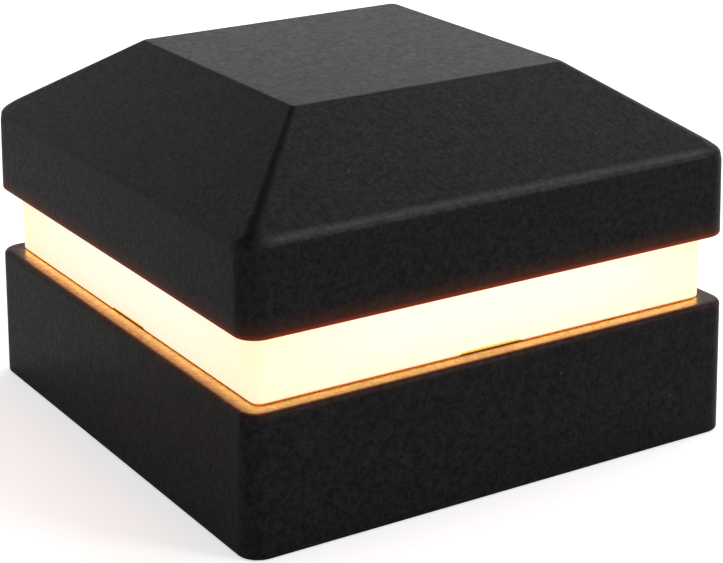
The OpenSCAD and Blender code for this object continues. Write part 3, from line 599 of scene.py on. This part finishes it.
def grow(piece, tree, **values):
    """Runs a geometry tree on the object, its inputs given by their names with _ for a space."""
    grower = piece.modifiers.new("grower", "NODES")
    grower.node_group = tree
    for item in tree.interface.items_tree:
        key = item.name.replace(" ", "_")
        if item.in_out == "INPUT" and key in values:
            grower[item.identifier] = values[key]
    return settle(piece)


def rounded_profile(corners, closed=True, steps=5, ease=0.3):
    """Corners are (half width, height, corner radius, edge radius); returns the profile's points
    (half width, corner radius, height) with each edge rounded and a support point beside it."""
    points = []
    n = len(corners)
    for i, (w, z, rc, edge) in enumerate(corners):
        here = Vector((w, z))
        inner = closed or 0 < i < n - 1
        if edge <= 0 or not inner:
            points.append((w, rc, z))
            continue
        before, after = corners[i - 1], corners[(i + 1) % n]
        to_before, to_after = Vector(before[:2]) - here, Vector(after[:2]) - here
        half_angle = to_before.angle(to_after) / 2
        run = edge / math.tan(half_angle)
        reach = [min(run + ease, 0.98 * v.length) for v in (to_before, to_after)]
        start, end = (here + v.normalized() * run for v in (to_before, to_after))
        rc_start = rc + (before[2] - rc) * run / to_before.length
        rc_end = rc + (after[2] - rc) * run / to_after.length
        middle = (to_before.normalized() + to_after.normalized()).normalized()
        centre = here + middle * (edge / math.sin(half_angle))
        if reach[0] > run:
            share = reach[0] / to_before.length
            p = here + to_before * share
            points.append((p.x, rc + (before[2] - rc) * share, p.y))
        for k in range(steps + 1):
            p = centre + (start - centre).slerp(end - centre, k / steps).normalized() * edge
            span = end.x - start.x
            part = (p.x - start.x) / span if abs(span) > TINY else k / steps
            points.append((p.x, rc_start + (rc_end - rc_start) * part, p.y))
        if reach[1] > run:
            share = reach[1] / to_after.length
            p = here + to_after * share
            points.append((p.x, rc + (after[2] - rc) * share, p.y))
    if closed:
        points.append(points[0])
    return points


def shell(name, points, finish, sides=20, corners=12):
    """A lofted shell from its profile, by the geometry tree."""
    mesh = bpy.data.meshes.new(name)
    mesh.from_pydata([Vector(p) * MM for p in points], [(i, i + 1) for i in range(len(points) - 1)], [])
    return grow(new_object(name, mesh), shell_tree, Side_steps=sides, Corner_steps=corners, Finish=finish)


def turned_mesh(profile, at=(0, 0), steps=48, closed=False):
    """Vertices and faces of a turned form; the profile's points are (radius, height), up the outside."""
    vertices, rings, faces = [], [], []
    for r, z in profile:
        count = 1 if r < TINY else steps
        rings.append((len(vertices), count))
        for k in range(count):
            a = 2 * math.pi * k / steps
            vertices.append((at[0] + r * math.cos(a), at[1] + r * math.sin(a), z))
    pairs = list(zip(rings, rings[1:]))
    if closed:
        pairs.append((rings[-1], rings[0]))
    for (low, low_n), (high, high_n) in pairs:
        for k in range(steps):
            a, b = low + k % low_n, low + (k + 1) % low_n
            c, d = high + (k + 1) % high_n, high + k % high_n
            corners = list(dict.fromkeys((a, b, c, d)))
            if len(corners) > 2:
                faces.append(corners)
    return vertices, faces


def round_turned(corners, closed=False, steps=4):
    """Rounds the corners (radius, height, edge radius) of a turned form's profile."""
    made = rounded_profile([(r, z, 0.0, e) for r, z, e in corners], closed, steps, ease=0.0)
    return [(r, z) for r, _, z in made]


def prism_mesh(outline, z0, z1):
    """Upright prism from an outline that runs counter-clockwise; z1 may be a function of x and y."""
    n = len(outline)
    top = z1 if callable(z1) else (lambda x, y: z1)
    vertices = [(x, y, z0) for x, y in outline] + [(x, y, top(x, y)) for x, y in outline]
    faces = [(k, (k + 1) % n, n + (k + 1) % n, n + k) for k in range(n)]
    faces += [tuple(reversed(range(n)))]
    if callable(z1):
        cx, cy = (sum(p[i] for p in outline) / n for i in (0, 1))
        vertices.append((cx, cy, top(cx, cy)))
        faces += [(n + k, n + (k + 1) % n, 2 * n) for k in range(n)]
    else:
        faces += [tuple(range(n, 2 * n))]
    return vertices, faces


def circle(x, y, r, steps=48):
    return [(x + r * math.cos(2 * math.pi * k / steps), y + r * math.sin(2 * math.pi * k / steps))
            for k in range(steps)]


def posts(places, r, z0, z1, steps=48):
    """Round prisms at several places."""
    return [prism_mesh(circle(x, y, r, steps), z0, z1) for x, y in places]


def box_mesh(x0, x1, y0, y1, z0, z1):
    return prism_mesh([(x0, y0), (x1, y0), (x1, y1), (x0, y1)], z0, z1)


def joined(name, parts):
    """One mesh object from several (vertices, faces), in millimetres."""
    mesh = bpy.data.meshes.new(name)
    form = bmesh.new()
    for vertices, faces in parts:
        made = [form.verts.new(Vector(v) * MM) for v in vertices]
        for face in faces:
            form.faces.new([made[i] for i in face])
    form.to_mesh(mesh)
    form.free()
    return new_object(name, mesh)


def carve(piece, *tools):
    """Unites and cuts: tools are (operation, parts) in order."""
    for operation, parts in tools:
        tool = joined("tool", parts)
        step = piece.modifiers.new("carve", "BOOLEAN")
        step.operation = operation
        step.solver = "MANIFOLD"
        step.object = tool
        settle(piece)
        bpy.data.objects.remove(tool)
    return piece


def at_corners(x, y):
    return [(i * x, j * y) for i in (-1, 1) for j in (-1, 1)]


def quarter_turns(part):
    """The same form on all four sides."""
    vertices, faces = part
    for _ in range(4):
        yield vertices, faces
        vertices = [(-y, x, z) for x, y, z in vertices]


def finish_piece(piece, finish, body, slot, *nodes, sharp=32):
    """Smooth faces with sharp edges, one material, and the piece's place in the frame."""
    mesh = piece.data
    mesh.materials.clear()
    mesh.materials.append(finish)
    mesh.polygons.foreach_set("material_index", [0] * len(mesh.polygons))
    mesh.shade_smooth()
    mesh.set_sharp_from_angle(angle=math.radians(sharp))
    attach(piece, body)
    if nodes:
        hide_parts(*nodes)
    return piece


EARS, POST_SCREWS = at_corners(ear_pos, ear_pos), at_corners(post_screw_pos, post_screw_pos)
DRIVER_CORNERS = at_corners(driver_x, driver_y)
CATCHES = [(catch_pos, 0), (0, catch_pos), (-catch_pos, 0), (0, -catch_pos)]


# ---- roof ----

# Corner radius of the hips at a half width: they get sharper up the slope.
HIP_RADII = (49.0, 3.0), (48.0, 2.2), (47.0, 1.8), (45.0, 1.6)


def slope_z(w):
    """Height of the roof's outer slope at a half width."""
    return z_eave + (eave_half - w) * slope


def mid_wall(x, y):
    """Height in the middle of the roof's wall, where the bosses end."""
    return min(slope_z(max(abs(x), abs(y))), z_top) - half_wall


def make_roof():
    outer = [(fascia_half, z_fascia, corner_r + 0.7, 0.6), (brow_half, z_brow, corner_r + 0.5, 0),
             (eave_half, z_eave, 4.7, 1.4), *((w, slope_z(w), rc, 0) for w, rc in HIP_RADII),
             (plateau_half, z_top, 1.0, 1.0), (plateau_half * 0.55, z_top, 0.6, 0), (0, z_top, 0, 0)]
    inner = [(0, z_ceiling, 0, 0), (inner_plateau, z_ceiling, 0.6, 1.0),
             (seat_half, z_eave - slope_drop + (eave_half - seat_half) * slope, 1.1, 0.8),
             (seat_half, z_roof_seat, 1.0, 0.2), (lap_half, z_roof_seat, lap_r, 0.2),
             (lap_half, z_fascia, lap_r, 0.3)]
    roof = shell("roof_cap_cast", rounded_profile(outer + inner, steps=6), black_coating)
    bosses = (posts(EARS, boss_r, z_diffuser_top, mid_wall)
              + posts(DRIVER_CORNERS, driver_boss_r, z_driver_boss, z_ceiling + SINK))
    bores = (posts(EARS, boss_bore_r, z_diffuser_top - CUT, z_diffuser_top + boss_bore_h, 32)
             + posts(DRIVER_CORNERS, driver_bore_r, z_driver_boss - CUT, z_driver_bore, 32))
    carve(roof, ("UNION", bosses), ("DIFFERENCE", bores))
    finish_piece(roof, black_coating, "head", "black_coating", "roof_cap")


# ---- base ----

def make_base():
    core = ledge_half - corner_r
    outer = [(base_half, 0, base_half - core, 0.5), (ledge_half, z_ledge, corner_r, 1.0),
             (groove_out, z_ledge, diffuser_r, 0.1), (groove_out, z_groove, diffuser_r, 0),
             (groove_in, z_groove, 0.5, 0), (groove_in, z_ledge, 0.5, 0.08),
             (lip_half, z_ledge, diffuser_r, 0.1), (lip_half, z_lip, diffuser_r, 0.35),
             (lip_in, z_lip, 0.6, 0.35), (lip_in, z_ledge, 0.6, 0.2), (24.0, z_ledge, 0.5, 0),
             (0, z_ledge, 0, 0)]
    inner = [(0, z_deck_under, 0, 0), (24.0, z_deck_under, 1.0, 0),
             (inner_high, z_deck_under, corner_r / 2, 1.0), (inner_low, 0, corner_r / 2 + 0.575, 0.4)]
    skirt = shell("base_skirt_cast", rounded_profile(outer + inner), black_coating)
    pads = []
    for places, r in ((CATCHES, pad_r), (POST_SCREWS, pad_r * post_pad_share)):
        edge = round_turned([(0, z_seat, 0), (r, z_seat, 0.4), (r, z_deck_under + SINK, 0),
                             (0, z_deck_under + SINK, 0)])
        pads += [turned_mesh(edge, place) for place in places]
    ribs = []
    nose = [(rib_ease, 0), (0.3 * rib_ease, 0.3 * rib_ease), (0, rib_ease)]
    for y in (-rib_pos, rib_pos):
        low, high = y - rib_half, y + rib_half
        outline = ([(rib_out, low), (rib_out, high)] + [(rib_in + a, high - b) for a, b in nose]
                   + [(rib_in + a, low + b) for a, b in reversed(nose)])
        ribs += quarter_turns(prism_mesh(outline, z_rib, z_deck_under + SINK))
    span = z_seat - CUT, z_ledge + CUT
    holes = (posts(POST_SCREWS, post_hole_r, *span) + posts(CATCHES, stud_hole_r, *span, 32)
             + posts([(0, 0)], cable_hole_r, *span, 64))
    carve(skirt, ("UNION", pads), ("UNION", ribs), ("DIFFERENCE", holes))
    finish_piece(skirt, black_coating, "base", "black_coating", "base_skirt")


# ---- band and seals ----

def make_band():
    ring = [(diffuser_half, z_foot, diffuser_r, 0.2), (diffuser_half, z_diffuser_top, diffuser_r, 0.3),
            (diffuser_in, z_diffuser_top, 0.5, 0.2), (diffuser_in, z_foot, 0.5, 0.3)]
    band = shell("diffuser_band", rounded_profile(ring), opal)
    ears = [box_mesh(*sorted((i * ear_from, i * ear_to)), *sorted((j * ear_from, j * ear_to)),
                     z_ear, z_diffuser_top) for i, j in at_corners(1, 1)]
    bores = posts(EARS, ear_bore_r, z_ear - CUT, z_diffuser_top + CUT, 32)
    notch = box_mesh(diffuser_in - CUT, diffuser_half + CUT, -notch_half, notch_half,
                     z_foot - CUT, z_foot + notch_h)
    carve(band, ("UNION", ears), ("DIFFERENCE", [*bores, *quarter_turns(notch)]))
    finish_piece(band, opal, "head", "opal", "diffuser")


def make_seals():
    low = [(gasket_out, z_groove, diffuser_r, 0.15), (gasket_out, z_foot, diffuser_r, 0.15),
           (gasket_in, z_foot, 0.6, 0.28), (gasket_in, z_groove, 0.6, 0.15)]
    high = [(diffuser_half, z_diffuser_top, diffuser_r, 0.4), (diffuser_half, z_roof_seat, diffuser_r, 0.4),
            (gasket_in, z_roof_seat, 0.6, 0.4), (gasket_in, z_diffuser_top, 0.6, 0.4)]
    for name, ring, body, node in (("base_seal_bead", low, "base", "base_gasket"),
                                   ("roof_seal_bead", high, "head", "roof_gasket")):
        seal = shell(name, rounded_profile(ring, ease=0.1), dark_seal, 16, 8)
        finish_piece(seal, dark_seal, body, "dark_seal", node, sharp=60)


# ---- deck: reflector sheet, grommet and studs ----

def turned(name, corners, steps=48, rounding=4):
    """A closed turned piece; its corners (radius, height, edge radius) run up the outside."""
    made = round_turned(corners, True, rounding)[:-1]
    return joined(name, [turned_mesh(made, steps=steps, closed=True)])


def make_deck():
    sheet = [(sheet_half, z_ledge, 0.9, 0), (sheet_half, z_foot, 0.9, 0.08), (22.0, z_foot, 0.6, 0),
             (0, z_foot, 0, 0), (0, z_ledge, 0, 0), (22.0, z_ledge, 0.6, 0)]
    reflector = shell("deck_reflector_sheet", rounded_profile(sheet, ease=0.1, steps=3), white_film, 16, 6)
    windows = (posts([(0, 0)], cable_window_r, *z_window, 64)
               + posts(POST_SCREWS, screw_window_r, *z_window) + posts(CATCHES, stud_window_r, *z_window))
    carve(reflector, ("DIFFERENCE", windows))
    finish_piece(reflector, white_film, "base", "white_film", "deck_reflector")
    grommet = turned("cable_grommet_ring", [
        (3.3, 20.9, 0.5), (10.5, 20.9, 0.5), (10.5, z_deck_under, 0.4), (7.9, z_deck_under, 0.15),
        (7.9, z_ledge, 0.15), (10.5, z_ledge, 0.35), (6.0, 27.9, 0.7), (3.3, 27.9, 0.6)], steps=64)
    finish_piece(grommet, black_rubber, "base", "black_rubber", "cable_grommet", sharp=50)


def copies(name, piece, places, finish, body, slot, *nodes, sharp=32):
    """Copies of a piece at places (x, y, z, tilt, turn), made by the geometry tree."""
    mesh = bpy.data.meshes.new(name)
    mesh.from_pydata([Vector(p[:3]) * MM for p in places], [], [])
    turn = mesh.attributes.new("turn", "FLOAT_VECTOR", "POINT")
    for item, (_, _, _, tilt, spin) in zip(turn.data, places):
        item.vector = (0.0, math.radians(tilt), math.radians(spin))
    group = grow(new_object(name, mesh), copies_tree, Piece=piece, Finish=finish)
    bpy.data.objects.remove(piece)
    return finish_piece(group, finish, body, slot, *nodes, sharp=sharp)


def ball_stud():
    """Ball stud with a hexagon recess, standing on the deck."""
    low = [(0, 20.4, 0), (1.5, 20.4, 0.25), (1.5, z_ledge, 0), (3.0, z_ledge, 0.12), (3.0, 26.7, 0.2),
           (1.2, 26.7, 0.25), (1.2, 28.0, 0)]
    ball = [(ball_r * math.cos(math.radians(a)), z_ball + ball_r * math.sin(math.radians(a)))
            for a in range(-50, 90, 8)]
    stud = joined("stud", [turned_mesh(round_turned(low) + ball + [(0, z_ball + ball_r)], steps=40)])
    return carve(stud, ("DIFFERENCE", posts([(0, 0)], 0.62, 30.6, 33.0, 6)))


def snap_socket():
    """Split nylon socket that grips a stud's ball."""
    ring = [(2.2, 27.4, 0.15), (3.1, 27.4, 0.2), (3.7, 27.9, 0.12), (3.7, 28.38, 0.1), (3.1, 28.38, 0.05),
            (3.1, 29.62, 0.05), (4.2, 29.62, 0.15), (4.2, 30.4, 0.2), (3.1, 30.4, 0.15), (3.1, 31.0, 0.2),
            (2.2, 31.0, 0.2)]
    socket = turned("socket", ring, steps=40, rounding=3)
    return carve(socket, ("DIFFERENCE", [box_mesh(-4, 4, -0.25, 0.25, 26.0, 29.2)]),
                 ("DIFFERENCE", [box_mesh(-0.25, 0.25, -4, 4, 26.0, 29.2)]))


def pan_screw(shank_r, head_r, head_h, length):
    """Pan-head screw that points up from the face it sits on, with a hexagon recess in its head."""
    profile = [(0, -head_h, 0), (head_r * 0.82, -head_h, head_h * 0.45),
               (head_r, -head_h * 0.35, head_h * 0.3), (head_r, 0, 0.05), (shank_r, 0, 0),
               (shank_r, length - shank_r * 0.5, 0), (shank_r * 0.6, length, 0), (0, length, 0)]
    screw = joined("screw", [turned_mesh(round_turned(profile), steps=32)])
    return carve(screw, ("DIFFERENCE", posts([(0, 0)], head_r * 0.5, -head_h - CUT, -head_h * 0.4, 6)))


def light_package():
    """Housing of one light package, its light going up."""
    half_l, half_w, t, ease, c = 1.75, 1.4, 0.8, 0.12, 0.15
    loops = []
    for inset, z in ((0, 0), (0, t - ease), (ease, t), (0.3, t)):
        a, b = half_w - inset, half_l - inset
        loops.append([(a, -b + c, z), (a, b - c, z), (a - c, b, z), (c - a, b, z), (-a, b - c, z),
                      (-a, c - b, z), (c - a, -b, z), (a - c, -b, z)])
    vertices = [v for loop in loops for v in loop]
    faces = [(8 * k + i, 8 * k + (i + 1) % 8, 8 * k + 8 + (i + 1) % 8, 8 * k + 8 + i)
             for k in range(3) for i in range(8)]
    faces += [tuple(reversed(range(8))), tuple(range(24, 32))]
    housing = joined("housing", [(vertices, faces)])
    return carve(housing, ("DIFFERENCE", posts([(0, 0)], 1.1, 0.6, 2.0, 24)))


def on_board(y, tilt, turn):
    """Place on the light board of one side, y along the board."""
    c, s = math.cos(math.radians(turn)), math.sin(math.radians(turn))
    return board_off * c - y * s, board_off * s + y * c, z_board, tilt, turn


def make_repeats():
    """What repeats: studs and sockets, screws, and the light packages of the four boards."""
    catches = [(x, y, 0, 0, 45) for x, y in CATCHES]
    copies("ball_stud_set", ball_stud(), catches, zinc, "base", "zinc", "ball_studs", sharp=40)
    copies("snap_socket_set", snap_socket(), catches, white_nylon, "head", "white_nylon", "snap_sockets",
           sharp=40)
    ears = [(x, y, z_ear_screw, 0, 20 * k) for k, (x, y) in enumerate(EARS)]
    copies("carrier_screw_set", pan_screw(1.5, 2.8, 2.0, 8.0), ears, zinc, "head", "zinc", "carrier_screws")
    bosses = [(x, y, z_driver_screw, 0, 25 * k) for k, (x, y) in enumerate(DRIVER_CORNERS)]
    copies("driver_screw_set", pan_screw(1.2, 2.4, 1.8, 6.6), bosses, zinc, "head", "zinc", "driver_screws")
    turns = range(0, 360, 90)
    board_screws = [on_board(y, -90, turn) for turn in turns for y in (-board_screw_y, board_screw_y)]
    copies("board_screw_set", pan_screw(0.95, 1.9, 1.3, 3.0), board_screws, zinc, "head", "zinc",
           "led_board_screws")
    packages = [on_board(package_y + package_step * k, 90, turn)
                for turn in turns for k in range(packages_a_board)]
    copies("light_package_set", light_package(), packages, housing_white, "head", "light_package",
           "leds_front", "leds_back", "leds_left", "leds_right")
    lens = joined("lens", [turned_mesh([(0, 0.55), (1.05, 0.55), (1.05, 0.66), (0.8, 0.71), (0.4, 0.74),
                                        (0, 0.75)], steps=24)])
    copies("light_window_set", lens, packages, phosphor, "head", "light_package")


# ---- pieces that keep the solid's form, with eased edges ----

FLAT_ANGLE, EASE_ANGLE = 1.5, 35      # degrees


def eased(node, name, finish, width, smooth=0, sharp=32):
    """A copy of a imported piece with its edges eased, or with smoother curves."""
    body = frame["nodes"][node]["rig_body"]
    slot = next(p["material_slot"] for p in frame["record"]["subparts"] if p["node"] == node)
    mesh = frame["nodes"][node].data.copy()
    form = bmesh.new()
    form.from_mesh(mesh)
    bmesh.ops.remove_doubles(form, verts=form.verts, dist=WELD)
    bmesh.ops.dissolve_limit(form, angle_limit=math.radians(FLAT_ANGLE), verts=form.verts, edges=form.edges)
    form.to_mesh(mesh)
    form.free()
    piece = new_object(name, mesh)
    if width:
        step = piece.modifiers.new("ease", "BEVEL")
        step.width, step.segments = width * MM, 2
        step.limit_method, step.angle_limit = "ANGLE", math.radians(EASE_ANGLE)
    if smooth:
        step = piece.modifiers.new("smooth", "SUBSURF")
        step.levels = step.render_levels = smooth
    settle(piece)
    return finish_piece(piece, finish, body, slot, node, sharp=sharp)


def make_inner_pieces():
    for node, name, finish, width in (
            ("led_carrier", "lamp_carrier_sheet", white_enamel, 0.25),
            *(("led_board_" + side, "light_board_" + side, white_board, 0.08)
              for side in ("front", "back", "left", "right")),
            ("carrier_washers", "carrier_washer_set", zinc, 0.1),
            ("driver_board", "driver_circuit_board", green_board, 0.12),
            ("terminal_block", "terminal_block_body", green_moulding, 0.12),
            ("terminal_clamps", "terminal_clamp_set", zinc, 0.08),
            ("terminal_screws", "terminal_screw_set", zinc, 0.06),
            ("bridge_rectifier", "bridge_rectifier_body", black_moulding, 0.08),
            ("smoothing_capacitor", "smoothing_capacitor_can", blue_sleeve, 0.12),
            ("choke", "choke_core", ferrite, 0.12),
            ("driver_chip", "driver_chip_body", black_moulding, 0.06),
            ("fuse", "fuse_block", fuse_body, 0.12),
            ("output_header", "output_header_shroud", natural_nylon, 0.1),
            ("output_plug", "output_plug_body", natural_nylon, 0.12)):
        eased(node, name, finish, width)
    for wires in ("feed_wire_", "jumper_wires_"):
        for colour, finish in (("red", red_insulation), ("black", black_insulation)):
            eased(wires + colour, wires + colour + "_tube", finish, 0, smooth=1, sharp=60)


make_roof()
make_base()
make_band()
make_seals()
make_deck()
make_repeats()
make_inner_pieces()

# ---- stage ----

SKY_LIGHT, CEILING, CEILING_RISE = 0.45, 0.3, (0.30, 0.75)
FLOOR_HALF, FLOOR_Z = 2500, -0.05       # millimetres
AIM = 0, 0, 0.03                        # metres
SOFT_BOXES = [("soft_box_right", (0.6, 0.3, 0.8), (0.8, 0.8), 4.8),
              ("soft_box_front", (0.40, -0.56, 0.38), (0.2, 0.5), 1.7)]


def make_stage():
    """Pale floor and soft studio light."""
    h = FLOOR_HALF
    sheet = [(x, y, FLOOR_Z) for x, y in ((-h, -h), (h, -h), (h, h), (-h, h))]
    floor = joined("studio_floor", [(sheet, [(0, 1, 2, 3)])])
    floor.data.materials.append(pale_floor)
    world = bpy.data.worlds.new("studio")
    bpy.context.scene.world = world
    world.use_nodes = True
    tree = world.node_tree
    tree.nodes.clear()
    path = put(tree, "ShaderNodeLightPath").outputs
    mirrored = calc(tree, "MAXIMUM", path["Is Glossy Ray"], path["Is Transmission Ray"])
    way = put(tree, "ShaderNodeSeparateXYZ", {0: put(tree, "ShaderNodeTexCoord").outputs["Generated"]})
    backdrop = remap(tree, way.outputs[2], *CEILING_RISE, 1.0, CEILING)
    light = plus(tree, times(tree, mirrored, backdrop),
                 times(tree, minus(tree, 1.0, mirrored), SKY_LIGHT))
    strength = calc(tree, "MAXIMUM", path["Is Camera Ray"], light)
    sky = put(tree, "ShaderNodeBackground", {"Color": WHITE, "Strength": strength})
    put(tree, "ShaderNodeOutputWorld", {"Surface": sky.outputs[0]})
    for name, place, (width, height), watts in SOFT_BOXES:
        lamp = bpy.data.lights.new(name, "AREA")
        lamp.shape, lamp.size, lamp.size_y, lamp.energy = "RECTANGLE", width, height, watts
        box = new_object(name, lamp)
        box.location = place
        box.rotation_euler = (Vector(place) - Vector(AIM)).to_track_quat("Z", "Y").to_euler()


make_stage()
bpy.context.scene.view_settings.view_transform = "Standard"
